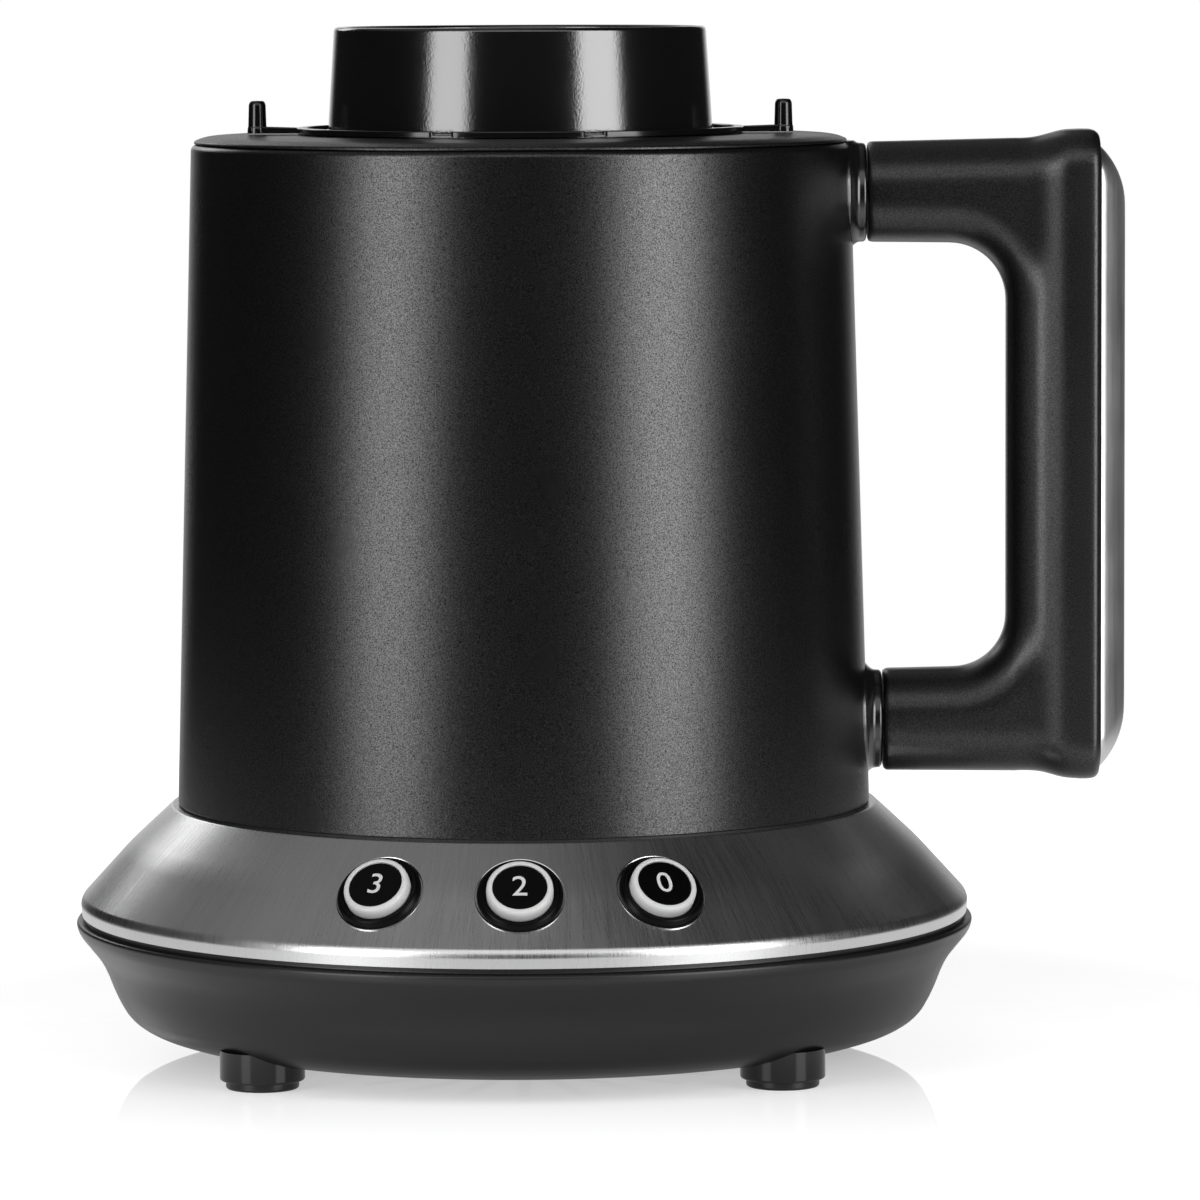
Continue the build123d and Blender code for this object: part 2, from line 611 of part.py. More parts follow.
def cover_form(inset):
    """Domed form of the handle cover, made smaller all round by an inset."""
    with BuildPart() as form:
        with BuildSketch(across(SEAM, (COVER_LOW + COVER_HIGH) / 2)):
            RectangleRounded(COVER_WIDTH - 2 * inset, COVER_HIGH - COVER_LOW - 2 * inset, 7.5 - inset)
        extrude(amount=HANDLE_REACH - SEAM)
        with BuildSketch(level(COVER_LOW)):
            with Locations((HANDLE_REACH - COVER_DOME, 0)):
                Circle(COVER_DOME - inset)
        extrude(amount=COVER_HIGH - COVER_LOW, mode=Mode.INTERSECT)
        with BuildSketch(UPRIGHT):
            with BuildLine():
                bend = HANDLE_REACH - COVER_END_DOME
                top = CenterArc((bend, COVER_HIGH - COVER_END_RUN), COVER_END_DOME - inset, 0, 49)
                bottom = CenterArc((bend, COVER_LOW + COVER_END_RUN), COVER_END_DOME - inset, 0, -49)
                Line(top @ 0, bottom @ 0)
                Polyline(top @ 1, (SEAM - 3.0, (top @ 1).Y), (SEAM - 3.0, (bottom @ 1).Y), bottom @ 1)
            make_face()
        extrude(amount=COVER_WIDTH / 2, both=True, mode=Mode.INTERSECT)
    return form


cover_inside = cover_form(COVER_SHEET)
cover_outside = cover_form(0.0)
with BuildPart() as handle_cover:
    add(cover_outside.part)
    add(cover_inside.part, mode=Mode.SUBTRACT)

with BuildPart() as handle_screws:
    for drum_radius, height in ((UPPER_SCREW_SEAT, UPPER_ARM_Z), (LOWER_SCREW_SEAT, LOWER_ARM_Z)):
        with BuildSketch(across(drum_radius - 3.0, height)):
            Circle(4.5)
        extrude(amount=3.0)
        with BuildSketch(across(drum_radius, height)):
            Circle(2.3)
        extrude(amount=17.0)

# ---- Lift-off chimney: cup with a bean guard, on a ring with broken ribs, two arms and two finger pins ----
with BuildPart() as chimney_cup:
    with BuildSketch(UPRIGHT):
        with BuildLine():
            Polyline(
                (37.4, 196.5), (39.6, 196.5), (39.6, 204.0), (CHIMNEY_BASE_RADIUS, 204.0),
                (CHIMNEY_BASE_RADIUS, CHIMNEY_SEAT), (CHIMNEY_TOP_RADIUS, TOTAL_HEIGHT),
                (CHIMNEY_TOP_RADIUS - 2.0, TOTAL_HEIGHT), (40.6, CHIMNEY_SEAT), (37.4, CHIMNEY_SEAT), close=True,
            )
        make_face()
    revolve(axis=BODY_AXIS)
    fillet(chimney_cup.edges().group_by(Axis.Z)[-1], 0.9)

with BuildPart() as chimney_ring:
    with BuildSketch(level(RING_BOTTOM)):
        Circle(RIB_OUTER - 0.4)
        Circle(CHIMNEY_BASE_RADIUS + 0.05, mode=Mode.SUBTRACT)
    extrude(amount=0.5)
    rib_middle = RIB_OUTER - RIB_WIDTH / 2
    rib_arcs = [(middle - FRONT_RIB, 2 * FRONT_RIB) for middle in (-90.0, 90.0)]
    rib_arcs += [(start, SIDE_RIB) for start in (2.0, 178.0 - SIDE_RIB, 182.0, 358.0 - SIDE_RIB)]
    with BuildSketch(level(RING_BOTTOM)):
        for start, sweep in rib_arcs:
            with BuildLine():
                rib_line = CenterArc((0, 0), rib_middle, start, sweep)
            SlotArc(rib_line, RIB_WIDTH)
    extrude(amount=RING_TOP - RING_BOTTOM)
    fillet(chimney_ring.edges().group_by(Axis.Z)[-1], 0.3)
    with BuildSketch(level(RING_BOTTOM)):
        for side in (-1, 1):
            with Locations((side * (RIB_OUTER + PIN_RADIUS_OUT) / 2, 0)):
                Rectangle(PIN_RADIUS_OUT - RIB_OUTER + 3.0, 4.0)
            with Locations((side * PIN_RADIUS_OUT, 0)):
                Circle(2.6)
    extrude(amount=RING_TOP - RING_BOTTOM - 0.1)

with BuildPart() as finger_pins:
    for side in (-1, 1):
        with BuildSketch(Plane(origin=(AXIS_X + side * PIN_RADIUS_OUT, 0, 0), x_dir=(1, 0, 0), z_dir=(0, -1, 0))):
            with BuildLine():
                Polyline(
                    (0, RING_TOP - 0.1), (2.1, RING_TOP - 0.1), (1.9, PIN_TOP - 0.8), (1.5, PIN_TOP - 0.2),
                    (0.9, PIN_TOP), (0, PIN_TOP), close=True,
                )
            make_face()
        revolve(axis=Axis((AXIS_X + side * PIN_RADIUS_OUT, 0, 0), (0, 0, 1)))

with BuildPart() as bean_guard:
    with BuildSketch(level(CHIMNEY_SEAT)):
        Circle(40.3)
        for radius, count, length in GUARD_SLOTS:
            for turn in range(count):
                with BuildLine(mode=Mode.PRIVATE):
                    slot_line = CenterArc((0, 0), radius, turn * 360.0 / count, length)
                SlotArc(slot_line, 4.4, mode=Mode.SUBTRACT)
    extrude(amount=0.8)

guard_ring = turned((37.6, CHIMNEY_SEAT + 0.8), (40.3, CHIMNEY_SEAT + 0.8), (40.3, CHIMNEY_SEAT + 2.4), (38.4, CHIMNEY_SEAT + 2.4))

with BuildPart() as chimney_seal:
    with BuildSketch(UPRIGHT):
        with Locations((39.55, 199.5)):
            Circle(0.5)
        with BuildLine():
            Polyline((37.0, 198.0), (39.6, 198.0), (39.6, 201.0), (37.0, 201.0), close=True)
        make_face(mode=Mode.SUBTRACT)
    revolve(axis=BODY_AXIS)

# ---- Write one file per piece ----
PIECES = {
    "base_pan": base_pan,
    "rubber_feet": rubber_feet,
    "base_screws": base_screws,
    "cable_gland": cable_gland,
    "chassis_plate": chassis_plate,
    "base_skirt": base_skirt,
    "shell_seal": shell_seal,
    "button_bezels": button_bezels,
    "button_left": BUTTONS["left"],
    "button_centre": BUTTONS["centre"],
    "button_right": BUTTONS["right"],
    "button_disc_left": DISCS["left"],
    "button_disc_centre": DISCS["centre"],
    "button_disc_right": DISCS["right"],
    "switch_boards": switch_boards,
    "tact_switches": tact_switches,
    "control_board": control_board,
    "board_components": board_components,
    "motor": motor,
    "motor_bracket": motor_bracket,
    "motor_shaft": motor_shaft,
    "fan_impeller": fan_impeller,
    "fan_nut": fan_nut,
    "fan_housing": fan_housing,
    "heater_frame": heater_frame,
    "heater_coil": heater_coil,
    "heater_duct": heater_duct,
    "thermostat": thermostat,
    "roasting_chamber": roasting_chamber,
    "heat_shield": heat_shield,
    "body_shell": body_shell,
    "top_deck": top_deck,
    "upper_boss": upper_boss,
    "lower_boss": lower_boss,
    "handle_grip": handle_grip,
    "handle_cover": handle_cover,
    "handle_screws": handle_screws,
    "chimney_cup": chimney_cup,
    "chimney_ring": chimney_ring,
    "finger_pins": finger_pins,
    "bean_guard": bean_guard,
    "guard_ring": guard_ring,
    "chimney_seal": chimney_seal,
}
os.makedirs("parts", exist_ok=True)
for name, piece in PIECES.items():
    piece.part.label = name
    export_step(piece.part, f"parts/{name}.step")
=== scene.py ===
import bmesh
import bpy
import json
import math
from mathutils import Matrix, Vector


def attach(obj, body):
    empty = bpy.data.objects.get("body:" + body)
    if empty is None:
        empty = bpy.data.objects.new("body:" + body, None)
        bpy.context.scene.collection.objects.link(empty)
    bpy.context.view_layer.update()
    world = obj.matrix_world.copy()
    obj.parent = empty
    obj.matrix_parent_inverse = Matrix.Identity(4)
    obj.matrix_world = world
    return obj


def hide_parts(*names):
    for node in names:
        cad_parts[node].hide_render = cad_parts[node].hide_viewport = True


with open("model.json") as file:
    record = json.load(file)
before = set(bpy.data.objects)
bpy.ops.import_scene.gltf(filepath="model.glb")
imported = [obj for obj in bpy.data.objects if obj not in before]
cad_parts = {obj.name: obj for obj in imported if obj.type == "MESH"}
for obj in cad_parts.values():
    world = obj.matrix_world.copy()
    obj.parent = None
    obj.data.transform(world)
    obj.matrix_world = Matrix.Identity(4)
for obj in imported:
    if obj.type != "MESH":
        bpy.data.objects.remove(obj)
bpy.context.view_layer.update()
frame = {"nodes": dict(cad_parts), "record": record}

# Lengths are in millimetres and become metres where a shape is made. Heights are above the worktop, radii
# are from the drum's upright axis, the front faces -Y and the handle points to +X.
MM = 0.001
AXIS_X = -17.2
DRUM_AXIS = Matrix.Translation((AXIS_X * MM, 0, 0))
SMOOTH_BELOW = math.radians(34)  # edges sharper than this stay crisp
SIDES = (-1, 1)


# ---- Finishes ----
def node(tree, kind, inputs=None, **settings):
    """Adds a shader node; an input is either a number, a colour or another node's output."""
    made = tree.nodes.new("ShaderNode" + kind)
    for setting, value in settings.items():
        setattr(made, setting, value)
    for socket, value in (inputs or {}).items():
        if isinstance(value, bpy.types.NodeSocket):
            tree.links.new(value, made.inputs[socket])
        else:
            made.inputs[socket].default_value = value
    return made


def calc(tree, operation, first, second):
    """Maths node on two inputs, each a node's output or a number."""
    return node(tree, "Math", {0: first, 1: second}, operation=operation).outputs[0]


def total(tree, first, *others):
    """All inputs added up."""
    for other in others:
        first = calc(tree, "ADD", first, other)
    return first


def product(tree, first, *others):
    """All inputs multiplied."""
    for other in others:
        first = calc(tree, "MULTIPLY", first, other)
    return first


def between(tree, value, low, high, start=0.3, end=0.7):
    """Turns a pattern or a distance that runs from start to end into a run from low to high."""
    ends = {"From Min": start, "From Max": end, "To Min": low, "To Max": high}
    return node(tree, "MapRange", {"Value": value, **ends}).outputs[0]


def rgb(tone):
    """Colour from either a grey level or (red, green, blue)."""
    return tone if isinstance(tone, tuple) else (tone,) * 3


def finish(name, tone, roughness, **constants):
    """New material with a plain shader."""
    material = bpy.data.materials.new(name)
    material.use_nodes = True
    shader = material.node_tree.nodes["Principled BSDF"]
    shader.inputs["Base Color"].default_value = (*rgb(tone), 1)
    shader.inputs["Roughness"].default_value = roughness
    for socket, value in constants.items():
        shader.inputs[socket.replace("_", " ")].default_value = value
    return material


def connect(material, **inputs):
    """Links node outputs to the shader's inputs."""
    shader = material.node_tree.nodes["Principled BSDF"]
    for socket, output in inputs.items():
        material.node_tree.links.new(output, shader.inputs[socket.replace("_", " ")])


def from_axis(tree, stretch=(1, 1, 1)):
    """Object coordinates in metres from the drum's axis, stretched to make a pattern longer or finer."""
    coordinates = node(tree, "TexCoord").outputs["Object"]
    to_axis = (-AXIS_X * MM, 0, 0)
    shifted = node(tree, "VectorMath", {0: coordinates, 1: to_axis}, operation="ADD").outputs[0]
    return node(tree, "VectorMath", {0: shifted, 1: stretch}, operation="MULTIPLY").outputs[0]


def noise(tree, where, scale, detail=2.0, roughness=0.5):
    """Cloudy pattern with so many cells per metre."""
    inputs = {"Vector": where, "Scale": scale, "Detail": detail, "Roughness": roughness}
    return node(tree, "TexNoise", inputs).outputs[0]


def tint(tree, value, dark, light):
    """Blend of two colours by a pattern."""
    inputs = {"Factor": value, "A": (*rgb(dark), 1), "B": (*rgb(light), 1)}
    return node(tree, "Mix", inputs, data_type="RGBA").outputs["Result"]


def relief(tree, height, depth):
    """Bump from a height pattern, depth in millimetres."""
    return node(tree, "Bump", {"Height": height, "Distance": depth * MM, "Strength": 1.0}).outputs[0]


def level_tangent(tree):
    """Level direction along the surface: metal that is brushed upwards spreads its highlights along it."""
    facing = node(tree, "NewGeometry").outputs["Normal"]
    return node(tree, "VectorMath", {0: facing, 1: (0, 0, 1)}, operation="CROSS_PRODUCT").outputs[0]


def textured(name, dark, light, roughness, grain, depth, sparkle=None, **constants):
    """Finish with a fine grain, its size and depth in millimetres, and a roughness that drifts slowly.

    Sparkle is the run of the shine from the bottom to the top of the grain.
    """
    patch = 25.0
    material = finish(name, light, roughness[1], **constants)
    tree = material.node_tree
    where = from_axis(tree)
    fine = noise(tree, where, 1.0 / (grain * MM), detail=2.0, roughness=0.6)
    slow = noise(tree, where, 1.0 / (patch * MM), detail=3.0, roughness=0.6)
    connect(
        material,
        Base_Color=tint(tree, between(tree, fine, 0.0, 1.0), dark, light),
        Roughness=between(tree, slow, *roughness),
        Normal=relief(tree, fine, depth),
    )
    if sparkle:
        connect(material, Specular_IOR_Level=between(tree, fine, *sparkle))
    return material


def patchy(name, dark, light, roughness, patch, **constants):
    """Finish whose colour changes in patches, their size in millimetres, as on zinc plate or mica."""
    material = finish(name, light, roughness[1], **constants)
    tree = material.node_tree
    patches = noise(tree, from_axis(tree), 1.0 / (patch * MM), detail=4.0, roughness=0.6)
    connect(
        material,
        Base_Color=tint(tree, between(tree, patches, 0.0, 1.0), dark, light),
        Roughness=between(tree, patches, *roughness),
        Normal=relief(tree, patches, 0.01),
    )
    return material


# Layers of brush strokes: how far they slant, in radians per metre of height, how many lie side by side on
# a circle of radius one, and how long they are, in metres.
CONE_STROKES = ((1.7, 620.0, 0.022), (-1.2, 480.0, 0.030), (0.4, 800.0, 0.015))


def cone_brushed(name, dark, light):
    """Steel brushed up and down the cone, in strokes that cross at a small angle."""
    material = finish(name, 0.56, 0.3, Metallic=1.0, Anisotropic=0.25)
    tree = material.node_tree
    place = from_axis(tree)
    apart = node(tree, "SeparateXYZ", {0: place}).outputs
    flat = node(tree, "CombineXYZ", {"X": apart["X"], "Y": apart["Y"]}).outputs[0]
    around = node(tree, "VectorMath", {0: flat}, operation="NORMALIZE").outputs[0]
    layers = []
    for slant, fineness, length in CONE_STROKES:
        turn = calc(tree, "MULTIPLY", apart["Z"], slant)
        slanted = node(tree, "VectorRotate", {"Vector": around, "Angle": turn}, rotation_type="Z_AXIS")
        side_by_side = {0: slanted.outputs[0], 1: (fineness, fineness, 0)}
        spread = node(tree, "VectorMath", side_by_side, operation="MULTIPLY").outputs[0]
        up = node(tree, "CombineXYZ", {"Z": calc(tree, "MULTIPLY", apart["Z"], 1.0 / length)}).outputs[0]
        where = node(tree, "VectorMath", {0: spread, 1: up}, operation="ADD").outputs[0]
        layers.append(noise(tree, where, 1.0))
    brushed = total(tree, *layers)
    drift = noise(tree, place, 40.0)
    connect(
        material,
        Base_Color=tint(tree, between(tree, brushed, 0.0, 1.0, start=1.0, end=2.0), dark, light),
        Roughness=between(tree, total(tree, brushed, drift), 0.25, 0.36, start=1.6, end=2.4),
        Normal=relief(tree, brushed, 0.0025),
        Tangent=level_tangent(tree),
    )
    return material


def line_brushed(name, tone, stretch, roughness=(0.22, 0.36), depth=0.004, **constants):
    """Metal brushed in one straight direction, the one with the smallest stretch."""
    material = finish(name, tone, roughness[1], Metallic=1.0, **constants)
    tree = material.node_tree
    lines = noise(tree, from_axis(tree, stretch), 1.0, detail=3.0, roughness=0.6)
    drift = noise(tree, from_axis(tree), 60.0)
    darker = tuple(channel * 0.86 for channel in tone)
    connect(
        material,
        Base_Color=tint(tree, between(tree, lines, 0.0, 1.0), darker, tone),
        Roughness=between(tree, total(tree, lines, drift), *roughness, start=0.7, end=1.3),
        Normal=relief(tree, lines, depth),
        Tangent=level_tangent(tree),
    )
    return material


FINISHES = {
    # Coated and moulded: dark, light, roughness, size of the grain, depth of the grain.
    "body_coat": textured(
        "powder_coat", 0.002, 0.004, (0.27, 0.29), 0.27, 0.032, sparkle=(0.10, 1.0),
    ),
    "deck_plastic": textured(
        "deck_moulding", 0.003, 0.006, (0.32, 0.38), 0.34, 0.050, sparkle=(0.05, 0.95),
    ),
    "grip_plastic": textured(
        "grip_moulding", 0.003, 0.005, (0.31, 0.35), 0.30, 0.022, sparkle=(0.30, 0.85),
    ),
    "pan_plastic": textured(
        "pan_moulding", 0.006, 0.009, (0.34, 0.40), 0.32, 0.018, Specular_IOR_Level=0.46,
    ),
    "bezel_plastic": textured(
        "bezel_moulding", 0.001, 0.002, (0.27, 0.33), 0.4, 0.006, Specular_IOR_Level=0.09,
    ),
    "button_black": textured(
        "button_black", 0.001, 0.002, (0.26, 0.34), 0.5, 0.002, Specular_IOR_Level=0.12,
    ),
    "button_white": textured("button_white", 0.60, 0.64, (0.30, 0.36), 0.5, 0.002, IOR=1.46),
    "chimney_gloss": textured("chimney_gloss", 0.003, 0.004, (0.12, 0.15), 0.50, 0.022, IOR=1.88),
    "ring_plastic": textured("ring_moulding", 0.003, 0.005, (0.11, 0.16), 0.8, 0.003),
    "foot_rubber": textured("foot_rubber", 0.004, 0.008, (0.26, 0.36), 0.5, 0.006),
    "seal_rubber": textured("seal_rubber", 0.004, 0.008, (0.5, 0.62), 0.4, 0.006),
    "gland_rubber": textured("gland_rubber", 0.008, 0.014, (0.48, 0.6), 0.4, 0.008),
    "inner_plastic": textured("inner_moulding", 0.030, 0.050, (0.42, 0.55), 0.5, 0.012),
    "heating_wire": textured(
        "heating_wire", (0.16, 0.13, 0.12), (0.36, 0.33, 0.31), (0.4, 0.6), 0.3, 0.01, Metallic=1.0,
    ),
    # In patches: dark, light, roughness, size of a patch.
    "circuit_board": patchy("circuit_board", (0.01, 0.07, 0.03), (0.03, 0.15, 0.07), (0.3, 0.45), 2.0),
    "mica": patchy("mica_sheet", (0.30, 0.24, 0.17), (0.52, 0.45, 0.34), (0.35, 0.6), 3.0),
    "zinc_steel": patchy("zinc_plate", 0.42, 0.58, (0.28, 0.42), 4.0, Metallic=1.0),
    # Brushed: tone, strokes per metre along X, Y and Z, roughness, depth of the strokes.
    "fan_aluminium": line_brushed("fan_aluminium", (0.72, 0.73, 0.74), (900, 900, 90), (0.3, 0.42)),
    "inner_steel": line_brushed("spun_steel", (0.60, 0.60, 0.60), (60, 60, 1600), (0.24, 0.38)),
    "brushed_steel": cone_brushed("skirt_steel", (0.51, 0.51, 0.515), (0.59, 0.59, 0.595)),
}
HOLE_STEEL = line_brushed("hole_edge_steel", (0.64, 0.64, 0.645), (900, 900, 900), (0.17, 0.23), 0.001)
COVER_STEEL = line_brushed(
    "cover_steel", (0.60, 0.60, 0.605), (2200, 2200, 30), (0.30, 0.38), 0.003, Anisotropic=0.7,
)
COLLAR_GLOSS = textured("collar_moulding", 0.003, 0.005, (0.19, 0.23), 0.6, 0.004, IOR=1.7)


# ---- Ways to shape a piece ----
def at(x, y, z=0.0):
    """Shift to a place."""
    return Matrix.Translation((x * MM, y * MM, z * MM))


def beveled(bm, chosen, reach, segments, affect="EDGES"):
    """Rounds the chosen edges or corners."""
    bmesh.ops.bevel(
        bm, geom=chosen, offset=reach * MM, affect=affect, segments=segments, profile=0.5, material=-1,
    )


def uprights(bm):
    """Edges that climb."""
    return [edge for edge in bm.edges if abs(edge.verts[0].co.z - edge.verts[1].co.z) > 0.1 * MM]


def rounded(outline):
    """Closed outline in the X-Z plane; a corner's third number is how far its rounding reaches."""
    bm = bmesh.new()
    corners = [bm.verts.new((point[0] * MM, 0, point[1] * MM)) for point in outline]
    bm.faces.new(corners)
    for reach in sorted({point[2] for point in outline if len(point) > 2}):
        chosen = [corner for corner, point in zip(corners, outline) if point[2:] == (reach,)]
        beveled(bm, chosen, reach, 8 if reach > 1 else 4, "VERTICES")
    bmesh.ops.delete(bm, geom=bm.faces[:], context="FACES_ONLY")
    on_axis = [edge for edge in bm.edges if all(abs(corner.co.x) < 1e-7 for corner in edge.verts)]
    bmesh.ops.delete(bm, geom=on_axis, context="EDGES")
    return bm


def turned(outline, steps=192, placed=DRUM_AXIS):
    """Closed ring or disc, turned about an axis from an outline of (radius, height, rounding)."""
    bm = rounded(outline)
    bmesh.ops.spin(
        bm, geom=bm.verts[:] + bm.edges[:], cent=(0, 0, 0), axis=(0, 0, 1), dvec=(0, 0, 0),
        angle=math.tau, steps=steps, use_merge=True,
    )
    bmesh.ops.remove_doubles(bm, verts=bm.verts, dist=1e-6)
    bmesh.ops.recalc_face_normals(bm, faces=bm.faces)
    bmesh.ops.transform(bm, matrix=placed, verts=bm.verts)
    return bm


def peg(radius, low, high, steps, placed, *bottom_rounding):
    """Solid round peg, also the cutter of a bore."""
    return turned([(0, low), (radius, low, *bottom_rounding), (radius, high), (0, high)], steps, placed)


def block(size, middle):
    """Plain block of a size along X, Y and Z with its middle at a place, ready to be shaped."""
    bm = bmesh.new()
    bmesh.ops.create_cube(bm, size=1.0)
    bmesh.ops.scale(bm, vec=[measure * MM for measure in size], verts=bm.verts)
    bmesh.ops.transform(bm, matrix=at(*middle), verts=bm.verts)
    return bm


def joined(*parts):
    """One bmesh out of several."""
    whole = bmesh.new()
    for part in parts:
        mesh = bpy.data.meshes.new("part")
        part.to_mesh(mesh)
        part.free()
        whole.from_mesh(mesh)
        bpy.data.meshes.remove(mesh)
    return whole


def shade(mesh):
    """Smooth shading with crisp edges."""
    mesh.polygons.foreach_set("use_smooth", [True] * len(mesh.polygons))
    mesh.set_sharp_from_angle(angle=SMOOTH_BELOW)


def shown(name, bm, material):
    """Object with a smooth mesh at the origin."""
    mesh = bpy.data.meshes.new(name)
    bm.to_mesh(mesh)
    bm.free()
    mesh.materials.append(material)
    shade(mesh)
    piece = bpy.data.objects.new(name, mesh)
    bpy.context.scene.collection.objects.link(piece)
    return piece


def settled(piece):
    """Turns a piece's modifiers into its mesh."""
    graph = bpy.context.evaluated_depsgraph_get()
    finished = bpy.data.meshes.new_from_object(piece.evaluated_get(graph))
    piece.modifiers.clear()
    old = piece.data
    piece.data = finished
    bpy.data.meshes.remove(old)
    shade(finished)


def cut(piece, cutter):
    """Takes the cutter's shape out of a piece."""
    tool = shown("cutter", cutter, piece.data.materials[0])
    modifier = piece.modifiers.new("cut", "BOOLEAN")
    modifier.object = tool
    modifier.solver = "EXACT"
    settled(piece)
    bpy.data.objects.remove(tool)


def fitted(piece, body, slot, *nodes):
    """Last steps of every piece: even shading, its body, and hiding the nodes that it stands for. The slot
    is not used.
    """
    even = piece.modifiers.new("even_shading", "WEIGHTED_NORMAL")
    even.keep_sharp = True
    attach(piece, body)
    if nodes:
        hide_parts(*nodes)


def made(name, bm, slot, body, *nodes):
    """Whole way from a bmesh to a finished piece in its slot's own finish."""
    fitted(shown(name, bm, FINISHES[slot]), body, slot, *nodes)


# ---- Camera: a long lens 1.6 m in front, a little above the chimney ----
FILM_WIDTH = 36.0
FOCAL_SHARE = 7170 / 1200  # focal length as a share of the image's width
CAMERA_PLACE = at(0.13, -1606.0, 244.0)
LOOKS_DOWN, LEANS = 5.07, -0.25  # degrees

camera_data = bpy.data.cameras.new("camera")
camera_data.sensor_width = FILM_WIDTH
camera_data.lens = FILM_WIDTH * FOCAL_SHARE
camera_data.clip_start = 0.05
camera = bpy.data.objects.new("camera", camera_data)
camera.matrix_world = (
    CAMERA_PLACE
    @ Matrix.Rotation(math.radians(90 - LOOKS_DOWN), 4, "X")
    @ Matrix.Rotation(math.radians(LEANS), 4, "Z")
)
bpy.context.scene.collection.objects.link(camera)
bpy.context.scene.camera = camera

# ---- Base bowl, feet and cable exit ----
BOWL_OUTLINE = [
    (0, 4.3), (74.0, 4.3, 3.0), (80.5, 5.1, 2.6), (86.0, 6.9, 1.6), (89.4, 9.2, 1.9), (92.1, 14.0, 2.2),
    (94.1, 19.2, 1.5), (95.7, 22.3, 1.5), (98.1, 25.2, 1.5), (100.2, 27.8, 0.8), (100.8, 29.2, 0.7),
    (100.8, 30.6, 0.7), (98.6, 30.6, 0.4), (98.6, 34.2, 0.3), (96.6, 34.2, 0.3), (96.6, 26.6),
    (92.6, 20.8, 2.0), (89.6, 14.6, 2.0), (84.8, 9.0, 2.0), (76.0, 6.7, 2.0), (0, 6.7),
]
INTAKE_SLOTS = 20
SLOT_SIZE = (24.0, 3.2, 9.0)
SLOT_MIDDLE = (32.0, 0, 5.5)
SLOT_ROUNDING = 1.5
CABLE_BORE = 6.05
CABLE_CUT = (0, 20)  # from where to where the cutter reaches, along the bore
CABLE_EXIT = at(AXIS_X, 84.0, 16.0) @ Matrix.Rotation(math.radians(-90), 4, "X")
CABLE_BOSS_OUTLINE = [(CABLE_BORE, 3.0), (8.6, 3.0), (8.6, 14.5, 0.7), (CABLE_BORE, 14.5, 0.2)]
GROMMET_OUTLINE = [(3.6, 0), (6.0, 0), (6.0, 14.55), (7.2, 14.55), (7.2, 16.1, 0.8), (3.6, 16.1, 0.5)]
SCREW_CIRCLE = 62.0
SCREW_BORE = 3.8
SCREW_CUT = (2, 9)
FOOT_HALF_PITCH = 56.75
BOSS_RADIUS, BOSS_BOTTOM, BOSS_TOP = 9.3, 1.8, 8.5
PAD_RADIUS, PAD_TOP = 8.0, 1.9
FOOT_ROUNDING = 0.6


def intake_slot(turn):
    """Cutter for one of the air slots under the bowl, with round ends."""
    bm = block(SLOT_SIZE, SLOT_MIDDLE)
    beveled(bm, uprights(bm), SLOT_ROUNDING, 5)
    bmesh.ops.transform(bm, matrix=DRUM_AXIS @ Matrix.Rotation(turn, 4, "Z"), verts=bm.verts)
    return bm


slots = [intake_slot(math.tau * slot / INTAKE_SLOTS) for slot in range(INTAKE_SLOTS)]
screw_angles = [math.radians(degrees) for degrees in (45, 135, 225, 315)]
screw_places = [
    at(AXIS_X + SCREW_CIRCLE * math.cos(angle), SCREW_CIRCLE * math.sin(angle)) for angle in screw_angles
]
bowl = shown("base_bowl", turned(BOWL_OUTLINE, 256), FINISHES["pan_plastic"])
cut(bowl, joined(*slots))
cut(bowl, joined(*[peg(SCREW_BORE, *SCREW_CUT, 48, place) for place in screw_places]))
cut(bowl, peg(CABLE_BORE, *CABLE_CUT, 64, CABLE_EXIT))
fitted(bowl, "roaster", "pan_plastic", "base_pan")
made("cable_boss", turned(CABLE_BOSS_OUTLINE, 96, CABLE_EXIT), "pan_plastic", "roaster")
made("cable_grommet", turned(GROMMET_OUTLINE, 64, CABLE_EXIT), "gland_rubber", "roaster", "cable_gland")

foot_places = [at(AXIS_X + x * FOOT_HALF_PITCH, y * FOOT_HALF_PITCH) for x in SIDES for y in SIDES]
foot_pads = [peg(PAD_RADIUS, 0, PAD_TOP, 64, place, FOOT_ROUNDING) for place in foot_places]
made("foot_pads", joined(*foot_pads), "foot_rubber", "roaster", "rubber_feet")
foot_bosses = [peg(BOSS_RADIUS, BOSS_BOTTOM, BOSS_TOP, 96, place, FOOT_ROUNDING) for place in foot_places]
made("foot_bosses", joined(*foot_bosses), "ring_plastic", "roaster")

# ---- Steel skirt ----
SKIRT_OUTLINE = [
    (70.5, 56.3), (79.2, 56.3, 0.31), (88.9, 47.3, 2.55), (99.9, 35.2, 1.31), (99.6, 31.8, 0.12),
    (99.0, 31.8, 0.12), (99.28, 34.99, 1.05), (88.47, 46.88, 2.55), (78.96, 55.7), (70.5, 55.7),
]
BUTTON_TILT = 44.0
BUTTON_MIDDLE = at(0, -89.75, 46.3)
BUTTON_SWINGS = {"left": -19.65, "centre": 0.0, "right": 19.65}
BUTTON_HOLE = 8.65
BUTTON_CUT = (-6, 6)
CONE_RADIUS = 131.0  # of the bend across the cone at the buttons
HOLE_LIP_OUTLINE = [(9.28, -0.5), (9.3, -0.16), (9.68, 0.03, 0.1), (9.85, 0.03), (9.85, -0.5)]


def button_place(swing):
    """Middle of a button on the cone's face, with Z outwards."""
    turn = Matrix.Rotation(math.radians(swing), 4, "Z")
    tilt = Matrix.Rotation(math.radians(90 - BUTTON_TILT), 4, "X")
    return DRUM_AXIS @ turn @ BUTTON_MIDDLE @ tilt


